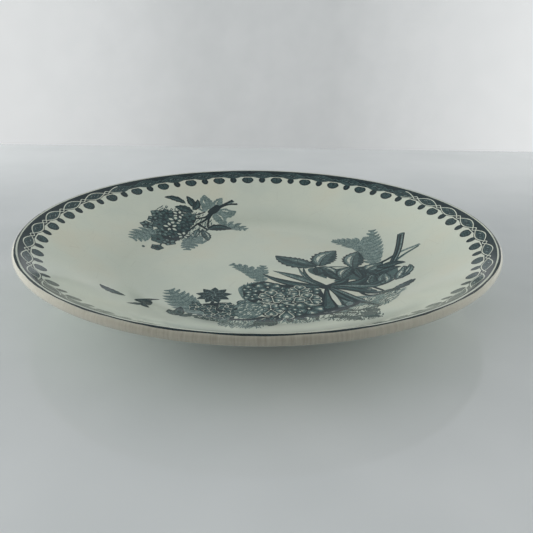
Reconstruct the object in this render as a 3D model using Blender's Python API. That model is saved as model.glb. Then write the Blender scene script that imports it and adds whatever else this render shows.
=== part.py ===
"""China dinner plate: one fired body, turned about +Z, standing on its foot ring at z = 0."""
import math

import bmesh
import bpy

# Driving dimensions, in metres
PLATE_DIAMETER = 0.240       # over the rounded lip
PLATE_HEIGHT = 0.0305        # from the table to the top of the lip
LIP_THICKNESS = 0.0046       # height of the rounded lip
LIP_DEPTH = 0.0020           # how far the lip bulges past its own middle line
RIM_THICKNESS = 0.0040       # wall of the rim and the verge, square to the surface
WELL_DIAMETER = 0.116        # flat eating surface, up to where the verge starts
WELL_THICKNESS = 0.0038      # wall of the flat middle
WELL_DISH = 0.0001           # how much lower the very middle is
VERGE_WIDTH = 0.0275         # sloping step from the well up to the rim
SHOULDER_HEIGHT = 0.0138     # top surface where the verge meets the rim
FOOT_HEIGHT = 0.0020         # depth of the recess inside the foot ring
FOOT_WIDTH = 0.0028          # flat band that the plate stands on
FOOT_OFFSET = 0.0098         # from the edge of the well out to the middle of that band
FOOT_EDGE = 0.0006           # rounding beside the band
FOOT_DRAFT = 0.0008          # how much wider the ring is at its root, on each side

# Slopes of the top surface, as rise over run
WELL_EDGE_SLOPE = 0.01
VERGE_SLOPE = 0.44
SHOULDER_SLOPE = 0.34
RIM_EDGE_SLOPE = 0.60
UNDER_LIP_SLOPE = 0.52

# Share of the verge's rise that is reached at the middle of its width
VERGE_MIDDLE_RISE = 0.37

# Facets
TURN_STEPS = 80
VERGE_CUTS = 4
RIM_CUTS = 5
LIP_CUTS = 6

GLAZE_COLOUR = (0.60, 0.64, 0.60, 1.0)
GLAZE_ROUGHNESS = 0.12


def clear_scene():
    for obj in list(bpy.data.objects):
        bpy.data.objects.remove(obj, do_unlink=True)


def hermite(start, end, radius):
    """Height and slope at a radius, between two (radius, height, slope) knots."""
    run = end[0] - start[0]
    t = (radius - start[0]) / run
    height = (
        (2 * t**3 - 3 * t**2 + 1) * start[1]
        + (t**3 - 2 * t**2 + t) * run * start[2]
        + (3 * t**2 - 2 * t**3) * end[1]
        + (t**3 - t**2) * run * end[2]
    )
    slope = (
        (6 * t**2 - 6 * t) * (start[1] - end[1]) / run
        + (3 * t**2 - 4 * t + 1) * start[2]
        + (3 * t**2 - 2 * t) * end[2]
    )
    return height, slope


def lip_point(angle):
    """Point on the lip's oval section; 90 degrees is its top, 0 its outermost point."""
    middle_radius = PLATE_DIAMETER / 2 - LIP_DEPTH
    middle_height = PLATE_HEIGHT - LIP_THICKNESS / 2
    return (
        middle_radius + LIP_DEPTH * math.cos(angle),
        middle_height + LIP_THICKNESS / 2 * math.sin(angle),
    )


def lip_angle(slope):
    """How far round the oval, past its top or bottom, the section has a given slope."""
    return math.atan(slope * LIP_DEPTH / (LIP_THICKNESS / 2))


def top_knots():
    """Knots of the eating surface, from the middle of the plate out to the lip."""
    well_radius = WELL_DIAMETER / 2
    floor_height = FOOT_HEIGHT + WELL_THICKNESS
    rise = SHOULDER_HEIGHT - floor_height
    lip_start = lip_point(math.pi / 2 + lip_angle(RIM_EDGE_SLOPE))
    return [
        (0.0, floor_height - WELL_DISH, 0.0),
        (well_radius, floor_height, WELL_EDGE_SLOPE),
        (well_radius + VERGE_WIDTH / 2, floor_height + VERGE_MIDDLE_RISE * rise, VERGE_SLOPE),
        (well_radius + VERGE_WIDTH, SHOULDER_HEIGHT, SHOULDER_SLOPE),
        (lip_start[0], lip_start[1], RIM_EDGE_SLOPE),
    ]


def top_surface(radius):
    """Height and slope of the eating surface at a radius."""
    knots = top_knots()
    for start, end in zip(knots, knots[1:]):
        if radius <= end[0]:
            return hermite(start, end, radius)
    return hermite(knots[-2], knots[-1], knots[-1][0])


def underside(radius):
    """Point of the back of the plate, one wall below the eating surface."""
    height, slope = top_surface(radius)
    return radius, height - RIM_THICKNESS * math.hypot(1.0, slope)


def spread(low, high, cuts):
    """Even steps after low, up to and including high."""
    return [low + (high - low) * i / cuts for i in range(1, cuts + 1)]


def plate_profile():
    """Half section as (radius, height), over the top, round the lip and back below."""
    knots = top_knots()
    radii = [0.0, knots[1][0] / 2, knots[1][0]]
    radii += spread(knots[1][0], knots[3][0], 2 * VERGE_CUTS)
    radii += spread(knots[3][0], knots[4][0], RIM_CUTS)
    points = [(r, top_surface(r)[0]) for r in radii]

    lip_top = math.pi / 2 + lip_angle(RIM_EDGE_SLOPE)
    lip_bottom = -math.pi / 2 + lip_angle(UNDER_LIP_SLOPE)
    points += [lip_point(a) for a in spread(lip_top, lip_bottom, LIP_CUTS)]

    foot_middle = WELL_DIAMETER / 2 + FOOT_OFFSET
    foot_outer = foot_middle + FOOT_WIDTH / 2 + FOOT_EDGE
    foot_inner = foot_middle - FOOT_WIDTH / 2 - FOOT_EDGE
    rim_inner = PLATE_DIAMETER / 2 - LIP_DEPTH - LIP_THICKNESS
    root_radius = foot_outer + FOOT_DRAFT
    root_fillet = root_radius + FOOT_HEIGHT
    points += [underside(r) for r in [rim_inner] + spread(rim_inner, root_fillet, RIM_CUTS + 1)]

    root_height = (underside(root_fillet)[1] + FOOT_EDGE) / 2
    points += [
        (root_radius + FOOT_EDGE, (underside(root_fillet)[1] + root_height) / 2),
        (root_radius, root_height),
        (foot_outer, FOOT_EDGE),
        (foot_outer - FOOT_EDGE / 3, FOOT_EDGE / 4),
        (foot_outer - FOOT_EDGE, 0.0),
        (foot_inner + FOOT_EDGE, 0.0),
        (foot_inner + FOOT_EDGE / 3, FOOT_EDGE / 4),
        (foot_inner, FOOT_EDGE),
        (foot_inner - FOOT_DRAFT, FOOT_HEIGHT - FOOT_EDGE / 2),
        (foot_inner - FOOT_DRAFT - FOOT_EDGE, FOOT_HEIGHT),
        (0.0, FOOT_HEIGHT),
    ]
    return points


def glaze_material():
    material = bpy.data.materials.new("glazed_china")
    material.use_nodes = True
    shader = material.node_tree.nodes["Principled BSDF"]
    shader.inputs["Base Color"].default_value = GLAZE_COLOUR
    shader.inputs["Roughness"].default_value = GLAZE_ROUGHNESS
    shader.inputs["Metallic"].default_value = 0.0
    return material


def turn_body(name, profile, material):
    """Turn a half section once round +Z with a Screw modifier."""
    mesh = bpy.data.meshes.new(name)
    bm = bmesh.new()
    verts = [bm.verts.new((radius, 0.0, height)) for radius, height in profile]
    for first, second in zip(verts, verts[1:]):
        bm.edges.new((first, second))
    bm.to_mesh(mesh)
    bm.free()
    mesh.materials.append(material)

    obj = bpy.data.objects.new(name, mesh)
    bpy.context.collection.objects.link(obj)
    screw = obj.modifiers.new("turn", "SCREW")
    screw.axis = "Z"
    screw.angle = 2 * math.pi
    screw.steps = TURN_STEPS
    screw.render_steps = TURN_STEPS
    screw.use_merge_vertices = True
    screw.merge_threshold = 0.00001
    screw.use_smooth_shade = True
    return obj


def main():
    clear_scene()
    turn_body("plate_body", plate_profile(), glaze_material())


main()
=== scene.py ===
import cmath
import math

import bpy
import numpy as np
from mathutils import Matrix, Vector
from mathutils.geometry import delaunay_2d_cdt


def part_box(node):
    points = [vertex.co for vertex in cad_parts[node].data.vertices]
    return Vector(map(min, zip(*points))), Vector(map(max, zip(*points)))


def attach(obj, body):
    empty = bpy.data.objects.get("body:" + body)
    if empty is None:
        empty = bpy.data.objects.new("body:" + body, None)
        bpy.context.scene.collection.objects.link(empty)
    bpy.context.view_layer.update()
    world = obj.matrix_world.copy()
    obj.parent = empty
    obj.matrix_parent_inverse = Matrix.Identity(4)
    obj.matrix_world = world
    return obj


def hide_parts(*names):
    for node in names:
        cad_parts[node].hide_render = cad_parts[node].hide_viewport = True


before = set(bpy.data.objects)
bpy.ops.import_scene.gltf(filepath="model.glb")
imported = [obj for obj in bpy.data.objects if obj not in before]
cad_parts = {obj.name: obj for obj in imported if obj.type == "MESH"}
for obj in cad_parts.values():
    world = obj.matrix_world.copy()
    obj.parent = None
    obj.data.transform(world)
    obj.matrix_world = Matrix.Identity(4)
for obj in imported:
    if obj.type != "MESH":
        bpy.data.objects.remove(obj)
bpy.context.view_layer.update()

mm = 0.001
plateNode = "plate_body"
low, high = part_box(plateNode)
plateRadius = (high.x - low.x) / 2
drawnFor = 0.120  # the print is laid out in millimetres on a plate of this radius
printScale = mm * plateRadius / drawnFor
mixFactor, mixFirst, mixSecond = 0, 6, 7  # sockets of a Mix node that mixes colours


def linear(hexText):
    # sRGB hex to the linear colour that shaders take
    parts = [int(hexText[i:i + 2], 16) / 255 for i in (1, 3, 5)]
    return (*[v / 12.92 if v <= 0.04045 else ((v + 0.055) / 1.055) ** 2.4 for v in parts], 1.0)


def feed(tree, node, links):
    # joins sockets, or the first live output of nodes, to the node's inputs
    for name, source in links.items():
        if isinstance(source, bpy.types.Node):
            source = next(output for output in source.outputs if output.enabled)
        tree.links.new(source, node.inputs[name])


def addNode(tree, kind, settings=None, links=None):
    # one node, its settings by socket name, socket number or property, and what feeds it;
    # "stops" are the places and colours, or grey values, of a colour ramp
    node = tree.nodes.new("ShaderNode" + kind)
    for name, value in (settings or {}).items():
        if name == "stops":
            points = node.color_ramp.elements
            while len(points) < len(value):
                points.new(0.5)
            for point, (place, colour) in zip(points, value):
                point.position = place
                point.color = linear(colour) if isinstance(colour, str) else (colour, colour, colour, 1)
        elif isinstance(name, int) or name in node.inputs:
            node.inputs[name].default_value = value
        else:
            setattr(node, name, value)
    feed(tree, node, links or {})
    return node


def newMaterial(name):
    material = bpy.data.materials.new(name)
    material.use_nodes = True
    tree = material.node_tree
    place = addNode(tree, "TexCoord").outputs["Object"]
    return material, tree, tree.nodes["Principled BSDF"], place


def newObject(name, data):
    thing = bpy.data.objects.new(name, data)
    bpy.context.scene.collection.objects.link(thing)
    return thing


# the plate's section is read from the CAD solid
section = {
    "cornerTurn": 40,  # degrees between two facets that make a real corner, as on the foot ring
    "spacingChange": 2.2,  # how much longer one facet is than the next where a new curve starts
    "step": 1.1 * mm,  # spacing of the finer rings
    "lipStep": 0.3 * mm,  # the same on the lip
    "lipDepth": 6 * mm,  # the lip is the last stretch below the crest that gets the closer rings
}


def readSection(node):
    # the corners of the solid in the half plane y = 0, in order from the top centre
    near = {}
    tiny = 1e-6
    for edge in node.data.edges:
        ends = [node.data.vertices[i].co for i in edge.vertices]
        if all(abs(p.y) < tiny and p.x > -tiny for p in ends):
            a, b = ((round(p.x, 6), round(p.z, 6)) for p in ends)
            if a != b:
                near.setdefault(a, []).append(b)
                near.setdefault(b, []).append(a)
    chain = [max((p for p in near if p[0] < tiny), key=lambda p: p[1])]
    while True:
        onwards = [p for p in near[chain[-1]] if p not in chain]
        if not onwards:
            break
        chain.append(onwards[0])
    return [complex(*p) for p in chain]


def smoothStretch(points, step):
    # a curve through the points, each tangent set by its neighbours, in steps of about that length
    points = np.array(points)
    gaps = np.abs(np.diff(points))
    slopes = np.diff(points) / gaps
    if len(points) == 2:
        tangents = np.array([slopes[0], slopes[0]])
    else:
        before, after = gaps[:-1], gaps[1:]
        inner = (slopes[:-1] * after + slopes[1:] * before) / (before + after)
        first = slopes[0] - (slopes[1] - slopes[0]) * gaps[0] / (gaps[0] + gaps[1])
        last = slopes[-1] + (slopes[-1] - slopes[-2]) * gaps[-1] / (gaps[-1] + gaps[-2])
        tangents = np.concatenate([[first], inner, [last]])
    curve = []
    for i, gap in enumerate(gaps):
        count = max(1, int(round(gap / step)))
        t = np.arange(1, count + 1) / count
        curve.extend(
            (2 * t**3 - 3 * t**2 + 1) * points[i] + (t**3 - 2 * t**2 + t) * gap * tangents[i]
            + (3 * t**2 - 2 * t**3) * points[i + 1] + (t**3 - t**2) * gap * tangents[i + 1])
    return curve


def fineSection(chain):
    # the same section with closer points: it curves between breaks, which are corners and
    # places where the CAD's own points change their spacing
    legs = [b - a for a, b in zip(chain, chain[1:])]
    breaks = [0]
    for i in range(1, len(chain) - 1):
        turn = abs(math.degrees(cmath.phase(legs[i] / legs[i - 1])))
        change = abs(legs[i]) / abs(legs[i - 1])
        if turn > section["cornerTurn"] or max(change, 1 / change) > section["spacingChange"]:
            breaks.append(i)
    breaks.append(len(chain) - 1)
    lipFloor = high.z - section["lipDepth"]
    fine = [chain[0]]
    for first, last in zip(breaks, breaks[1:]):
        stretch = chain[first:last + 1]
        onLip = min(p.imag for p in stretch) > lipFloor
        fine.extend(smoothStretch(stretch, section["lipStep"] if onLip else section["step"]))
    return fine


cadSection = readSection(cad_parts[plateNode])
plateSection = fineSection(cadSection)
outermost = max(range(len(plateSection)), key=lambda i: plateSection[i].real)
topRadius = np.array([p.real for p in plateSection[:outermost + 1]])
topHeight = np.array([p.imag for p in plateSection[:outermost + 1]])
print("section:", len(cadSection), "corners in the CAD,", len(plateSection), "on the finer one")

firing = {
    "warp": 0.16 * mm,  # how far the rim lifts and dips after firing
    "from": 0.62,  # share of the radius where the warp starts, outside the foot ring
    # strength, waves round the rim and start of each swell
    "swells": ((0.5, 2, 0.6), (0.35, 3, -1.1), (0.15, 5, 2.0)),
    "normalReach": 0.3 * mm,  # how far apart heights are read for the slope of the glaze
}


def warp(x, y):
    # rims leave the kiln slightly out of true; the foot stays flat
    r = np.hypot(x, y) / plateRadius
    turn = np.arctan2(y, x)
    grow = np.clip((r - firing["from"]) / (1 - firing["from"]), 0, 1) ** 2
    wave = sum(strength * np.cos(waves * turn + start) for strength, waves, start in firing["swells"])
    return firing["warp"] * grow * wave


def glazeHeight(x, y):
    return np.interp(np.hypot(x, y), topRadius, topHeight) + warp(x, y)


def glazeNormal(x, y):
    reach = firing["normalReach"]
    dx = (glazeHeight(x + reach, y) - glazeHeight(x - reach, y)) / (2 * reach)
    dy = (glazeHeight(x, y + reach) - glazeHeight(x, y - reach)) / (2 * reach)
    up = np.stack([-dx, -dy, np.ones_like(dx)], 1)
    return up / np.linalg.norm(up, axis=1)[:, None]


glazeGloss = {
    "roughness": 0.10,
    "dulled": 0.07,  # how much rougher the glaze is where it is dulled
    "dulledFrom": 0.35, "dulledTo": 0.75,  # values of the noise between which it gets duller
    "patch": 14,  # mm across one dulled patch
    "ior": 1.54,  # a lead and borax glaze
    "peel": 1.4,  # mm across one swell of the glaze surface
    "peelDepth": 0.010,  # mm
    "peelStrength": 0.35,
}


def addGlazeSurface(tree, shader, place, wear=0.0):
    # the clear coat that lies over body and print alike: smooth, with faint swells and dulled patches
    patches = addNode(
        tree, "TexNoise", {"Scale": 1 / (glazeGloss["patch"] * mm), "Detail": 4.0}, {"Vector": place})
    dulled = addNode(
        tree, "MapRange",
        {"From Min": glazeGloss["dulledFrom"], "From Max": glazeGloss["dulledTo"],
         "To Min": glazeGloss["roughness"], "To Max": glazeGloss["roughness"] + glazeGloss["dulled"] + wear},
        {"Value": patches})
    swell = addNode(
        tree, "TexNoise", {"Scale": 1 / (glazeGloss["peel"] * mm), "Detail": 2.0}, {"Vector": place})
    bump = addNode(
        tree, "Bump",
        {"Strength": glazeGloss["peelStrength"], "Distance": glazeGloss["peelDepth"] * mm},
        {"Height": swell})
    feed(tree, shader, {"Roughness": dulled, "Normal": bump})
    shader.inputs["IOR"].default_value = glazeGloss["ior"]


glazeLook = {
    "body": "#d8dfd0", "bodyWarm": "#dbddcb", "bodyCool": "#d1dacd",
    "cloud": 38,  # mm across one warm or cool cloud
    "poolAndShade": "#c4cdbf",  # thicker glaze at the foot of the verge, and painted shade over the verge's slope
    "poolAndShadePlace": ((0.50, 0.0), (0.60, 0.55), (0.66, 0.25), (0.74, 0.0)),  # by share of the radius
    "lip": "#dedccd", "streakedStainAndShade": "#878170",  # thin glaze over the lip, where the buff clay shows; the second colour is the front's brown stain and painted shade
    "lipPlace": ((0.984, 0.0), (0.9935, 1.0)),  # by share of the radius
    "streak": 0.8,  # mm between streaks over the lip
    "streakStretch": 0.12,  # height of the lip against its length in the streaks' pattern
    "stainAndShadeFrom": -0.62, "stainAndShadeTo": -0.99,  # in plate radii towards the front: where the stain and painted shade start, and where they are full
    "stainAndShadeLeast": 0.06, "stainAndShadeMost": 0.62,  # strength of the stain and painted shade at the sides and at the front
    "streakLeast": 0.78, "streakMost": 1.18,  # what the streaks multiply the stain and painted shade by
    "speck": "#7b7462", "speckCell": 7,  # mm, one speck at most in each
    "speckChance": 0.62,  # share of the cells that have none
    "speckSize": 0.035,  # radius of the largest speck, as a share of its cell
    "speckStrength": 0.55,
    "crazing": 9,  # mm across one field between hair cracks
    "crack": ((0.0, 0.10), (0.012, 0.0)),
}


def makeGlazedEarthenware():
    # glazed white earthenware: a cream-grey body under a clear glaze, greenish where it is thick and darker
    # over the verge as painted shade, with iron specks; it reads as soft china, glossy but never mirror flat
    material, tree, shader, place = newMaterial("glazedEarthenware")
    cloud = addNode(
        tree, "TexNoise", {"Scale": 1 / (glazeLook["cloud"] * mm), "Detail": 3.0}, {"Vector": place})
    body = addNode(
        tree, "ValToRGB",
        {"stops": ((0.30, glazeLook["bodyCool"]), (0.5, glazeLook["body"]), (0.72, glazeLook["bodyWarm"]))},
        {"Fac": cloud})
    axes = addNode(tree, "SeparateXYZ", links={"Vector": place})
    flatPlace = addNode(tree, "VectorMath", {"operation": "MULTIPLY", 1: (1, 1, 0)}, {0: place})
    radius = addNode(tree, "VectorMath", {"operation": "LENGTH"}, {0: flatPlace})
    share = addNode(tree, "Math", {"operation": "DIVIDE", 1: plateRadius}, {0: radius})
    # a darker band over the verge: partly glaze pooled at its foot, partly painted shade on its slope
    poolAndShade = addNode(tree, "ValToRGB", {"stops": glazeLook["poolAndShadePlace"]}, {"Fac": share})
    # the lip: streaks that run over the edge
    turn = addNode(tree, "Math", {"operation": "ARCTAN2"}, {0: axes.outputs["Y"], 1: axes.outputs["X"]})
    arc = addNode(tree, "CombineXYZ", links={"X": turn, "Y": axes.outputs["Z"]})
    arcScaled = addNode(
        tree, "VectorMath",
        {"operation": "MULTIPLY", 1: (plateRadius, glazeLook["streakStretch"], 1)}, {0: arc})
    streak = addNode(
        tree, "TexNoise", {"Scale": 1 / (glazeLook["streak"] * mm), "Detail": 3.0},
        {"Vector": arcScaled})
    # the front of the lip is darker: partly a brown stain, partly painted shade where less light falls on it
    frontStainAndShade = addNode(
        tree, "MapRange",
        {"From Min": glazeLook["stainAndShadeFrom"] * plateRadius, "From Max": glazeLook["stainAndShadeTo"] * plateRadius,
         "To Min": glazeLook["stainAndShadeLeast"], "To Max": glazeLook["stainAndShadeMost"]},
        {"Value": axes.outputs["Y"]})
    streakedStainAndShade = addNode(
        tree, "MapRange",
        {"From Min": 0.25, "From Max": 0.70, "To Min": glazeLook["streakLeast"],
         "To Max": glazeLook["streakMost"]},
        {"Value": streak})
    # stain holds both the brown stain and the painted shade on the front of the lip
    stain = addNode(tree, "Math", {"operation": "MULTIPLY"}, {0: frontStainAndShade, 1: streakedStainAndShade})
    lipColour = addNode(
        tree, "Mix",
        {"data_type": "RGBA", mixFirst: linear(glazeLook["lip"]), mixSecond: linear(glazeLook["streakedStainAndShade"])},
        {mixFactor: stain})
    onLip = addNode(tree, "ValToRGB", {"stops": glazeLook["lipPlace"]}, {"Fac": share})
    # iron specks, 0.2 to 0.5 mm across
    cells = addNode(tree, "TexVoronoi", {"Scale": 1 / (glazeLook["speckCell"] * mm)}, {"Vector": place})
    chance = addNode(tree, "SeparateColor", links={"Color": cells.outputs["Color"]})
    size = addNode(
        tree, "MapRange",
        {"From Min": glazeLook["speckChance"], "To Max": glazeLook["speckSize"]},
        {"Value": chance.outputs["Red"]})
    inside = addNode(tree, "Math", {"operation": "LESS_THAN"}, {0: cells, 1: size})
    speckShare = addNode(
        tree, "Math", {"operation": "MULTIPLY", 1: glazeLook["speckStrength"]}, {0: inside})
    # crazing: hair cracks that close on themselves, barely stained
    net = addNode(
        tree, "TexVoronoi",
        {"feature": "DISTANCE_TO_EDGE", "Scale": 1 / (glazeLook["crazing"] * mm)}, {"Vector": place})
    crack = addNode(tree, "ValToRGB", {"stops": glazeLook["crack"]}, {"Fac": net})
    # pooled glaze with painted shade on the verge, lip, specks and cracks lie over the body in that order
    colour = body
    for cover, tone in ((poolAndShade, "poolAndShade"), (onLip, lipColour), (speckShare, "speck"), (crack, "speck")):
        flat = {mixSecond: linear(glazeLook[tone])} if isinstance(tone, str) else {}
        drawn = {} if flat else {mixSecond: tone}
        colour = addNode(
            tree, "Mix", {"data_type": "RGBA", **flat}, {mixFactor: cover, mixFirst: colour, **drawn})
    feed(tree, shader, {"Base Color": colour})
    addGlazeSurface(tree, shader, place, wear=0.04)
    return material


bareLook = {
    "clay": "#c9bda3", "worn": "#a3957c",
    "stain": 6, "grit": 0.5,  # mm
    "gritDepth": 0.05,  # mm
    "roughness": 0.85,
}


def makeBareClay():
    # unglazed biscuit clay on the ground foot: dry, buff and slightly dirty, so it takes no highlight
    material, tree, shader, place = newMaterial("bareBiscuitClay")
    stain = addNode(
        tree, "TexNoise", {"Scale": 1 / (bareLook["stain"] * mm), "Detail": 5.0}, {"Vector": place})
    colour = addNode(
        tree, "ValToRGB", {"stops": ((0.35, bareLook["worn"]), (0.65, bareLook["clay"]))},
        {"Fac": stain})
    grit = addNode(
        tree, "TexNoise", {"Scale": 1 / (bareLook["grit"] * mm), "Detail": 3.0}, {"Vector": place})
    bump = addNode(
        tree, "Bump", {"Strength": 0.6, "Distance": bareLook["gritDepth"] * mm}, {"Height": grit})
    feed(tree, shader, {"Base Color": colour, "Normal": bump})
    shader.inputs["Roughness"].default_value = bareLook["roughness"]
    return material


# what each strength of ink looks like: full and thin colour, and how it was engraved: mm between
# lines, share of them that is full ink, how soft their edges are, and whether they are dots
inkLook = {
    "wash": {"full": "#627b79", "thin": "#8a9d98", "pitch": 0.9, "cover": 0.48, "soft": 0.12, "dots": True},
    "mid": {"full": "#314d4f", "thin": "#587370", "pitch": 0.8, "cover": 0.52, "soft": 0.18, "dots": False},
    "dark": {"full": "#16373c", "thin": "#344f50", "pitch": 0.7, "cover": 0.60, "soft": 0.18, "dots": False},
    "line": {"full": "#06242a", "thin": "#14343a", "pitch": 0.6, "cover": 0.70, "soft": 0.18, "dots": False},
}
bandsPerUnit = 10 / math.pi  # lines that a Wave texture of scale 1 draws in one unit
ragPatch = 3  # mm across one patch that the rag left
ragMarks = ((0.32, "#d9dedd"), (0.62, "#ffffff"))  # the printer's rag left more ink in some places


def makeTransferInk(strength):
    # a cobalt-grey transfer print under the glaze: engraved lines or dots that soften as the glaze melts.
    # real lines are 0.2 mm apart; they are drawn 0.6 to 0.9 mm apart so that they show
    look = inkLook[strength]
    cover, soft = look["cover"], look["soft"]
    material, tree, shader, place = newMaterial(strength + "TransferInk")
    wobble = addNode(tree, "TexNoise", {"Scale": 1 / (ragPatch * mm), "Detail": 2.0}, {"Vector": place})
    if look["dots"]:
        mark = addNode(
            tree, "TexVoronoi", {"Scale": 1 / (look["pitch"] * mm), "Randomness": 0.6},
            {"Vector": place})
    else:
        mark = addNode(
            tree, "TexWave",
            {"Scale": 1 / (look["pitch"] * mm) / bandsPerUnit, "Distortion": 1.6, "Detail": 1.0,
             "Detail Scale": 2.0, "bands_direction": "DIAGONAL"}, {"Vector": place})
    tone = addNode(
        tree, "ValToRGB",
        {"stops": ((cover - soft, look["full"]), (cover + soft, look["thin"]))}, {"Fac": mark})
    uneven = addNode(tree, "ValToRGB", {"stops": ragMarks}, {"Fac": wobble})
    colour = addNode(
        tree, "Mix", {"data_type": "RGBA", "blend_type": "MULTIPLY", mixFactor: 1.0},
        {mixFirst: tone, mixSecond: uneven})
    feed(tree, shader, {"Base Color": colour})
    addGlazeSurface(tree, shader, place)
    return material


glazed = makeGlazedEarthenware()
bareClay = makeBareClay()
inks = [makeTransferInk(strength) for strength in ("wash", "mid", "dark", "line")]
print("materials:", len(bpy.data.materials))


plateShape = {
    "segments": 288,
    "footBand": 0.12 * mm,  # faces no higher than this were ground bare
    "lipRings": 6,  # how far under the outermost ring the top's part of the bake map goes
    # middle and radius of the discs that the top and the underside fill on the bake map
    "topDisc": (0.362, 0.352), "underDisc": (0.782, 0.208),
}


def buildPlate():
    # the CAD section turned round with closer rings, warped a little, foot left bare where it was ground
    rings = plateSection + [complex(0, plateSection[-1].imag)]
    count = plateShape["segments"]
    turn = np.exp(2j * np.pi * np.arange(count) / count)
    points = [(0.0, 0.0, rings[0].imag)]
    arcLength = [0.0]
    for before, ring in zip(rings, rings[1:-1]):
        around = ring.real * turn
        lift = warp(around.real, around.imag)
        points.extend(zip(around.real, around.imag, ring.imag + lift))
        arcLength.append(arcLength[-1] + abs(ring - before))
    points.append((0.0, 0.0, rings[-1].imag))
    arcLength.append(arcLength[-1] + abs(rings[-1] - rings[-2]))
    faces = []
    spans = []  # which ring each face starts from, for its UVs and finish
    last = len(points) - 1
    rows = len(rings) - 2
    for k in range(count):
        ahead = (k + 1) % count
        faces.append((0, 1 + k, 1 + ahead))
        spans.append(0)
        for row in range(rows - 1):
            a = 1 + row * count
            faces.append((a + k, a + count + k, a + count + ahead, a + ahead))
            spans.append(row + 1)
        a = 1 + (rows - 1) * count
        faces.append((a + k, last, a + ahead))
        spans.append(rows)
    mesh = bpy.data.meshes.new("plate")
    mesh.from_pydata(points, [], faces)
    mesh.materials.append(glazed)
    mesh.materials.append(bareClay)
    mesh.shade_smooth()
    lipEnd = max(range(len(rings)), key=lambda i: rings[i].real) + plateShape["lipRings"]
    layer = mesh.uv_layers.new(name="OFBake")
    at = np.array([(p[0], p[1]) for p in points])
    angle = np.arctan2(at[:, 1], at[:, 0])
    for face, row in zip(mesh.polygons, spans):
        onFoot = max(points[i][2] for i in face.vertices) < plateShape["footBand"]
        face.material_index = 1 if onFoot else 0
        onTop = row < lipEnd
        for loop, vertex in zip(face.loop_indices, face.vertices):
            run = 0.0 if vertex == 0 else arcLength[-1]
            if 0 < vertex < last:
                run = arcLength[(vertex - 1) // count + 1]
            spot, size = plateShape["topDisc" if onTop else "underDisc"]
            start, end = (0.0, arcLength[lipEnd]) if onTop else (arcLength[-1], arcLength[lipEnd])
            reach = size * (run - start) / (end - start)
            layer.data[loop].uv = (
                spot + reach * math.cos(angle[vertex]), spot + reach * math.sin(angle[vertex]))
    return newObject("plate", mesh)


plate = buildPlate()
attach(plate, "root")
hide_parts(plateNode)
print("plate:", len(plate.data.polygons), "faces")


# the print is drawn with outlines: complex numbers in millimetres, x to the right and y away

clear, wash, mid, dark, line = range(5)  # strengths of ink; clear leaves the glaze bare


def spline(points, closed=False, step=0.7):
    p = np.array(points, complex)
    if closed:
        p = np.concatenate([p[-1:], p, p[:2]])
    else:
        p = np.concatenate([[2 * p[0] - p[1]], p, [2 * p[-1] - p[-2]]])
    runs = []
    for a, b, c, d in zip(p, p[1:], p[2:], p[3:]):
        count = max(2, int(math.ceil(abs(c - b) / step)))
        t = np.arange(count) / count
        runs.append(0.5 * (2 * b + (c - a) * t + (2 * a - 5 * b + 4 * c - d) * t**2
                           + (3 * b - 3 * c + d - a) * t**3))
    if not closed:
        runs.append(p[-2:-1])
    return np.concatenate(runs)


def sideOf(path):
    along = np.gradient(path)
    return 1j * along / np.maximum(np.abs(along), 1e-9)


def band(path, side):
    # the outline of a band as wide on both sides of the path
    return np.concatenate([path + side, (path - side)[::-1]])


def stroke(path, start, end, swell=0.0):
    # the outline of a line whose width goes from start to end and swells between
    path = np.array(path, complex)
    t = np.linspace(0, 1, len(path))
    half = (start + (end - start) * t + swell * np.sin(math.pi * t)) / 2
    return band(path, sideOf(path) * half)


def disc(centre, radius, flat=1.0, count=12):
    t = np.arange(count) * 2 * math.pi / count
    return centre + radius * (np.cos(t) + 1j * flat * np.sin(t))


def patch(art, points, ink):
    # a soft-edged area round the points
    art.append((spline(points, True), ink))


def twig(art, points, start, end, ink=line, swell=0.0):
    # a line through the points
    art.append((stroke(spline(points), start, end, swell), ink))


def curved(base, tip, bend, step=0.8):
    t = np.linspace(0, 1, max(6, int(abs(tip - base) / step)))
    return base + (tip - base) * (t + 4j * bend * t * (1 - t))


# edge, body, lit half, highlight, shaded margin, veins
leafStyles = {
    "dark": (line, line, dark, mid, dark, mid),
    "toothed": (line, dark, mid, wash, mid, line),
    "folded": (line, mid, wash, clear, dark, line),
    "grey": (dark, mid, wash, clear, wash, dark),
    "pale": (wash, wash, wash, clear, wash, mid),
}


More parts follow.
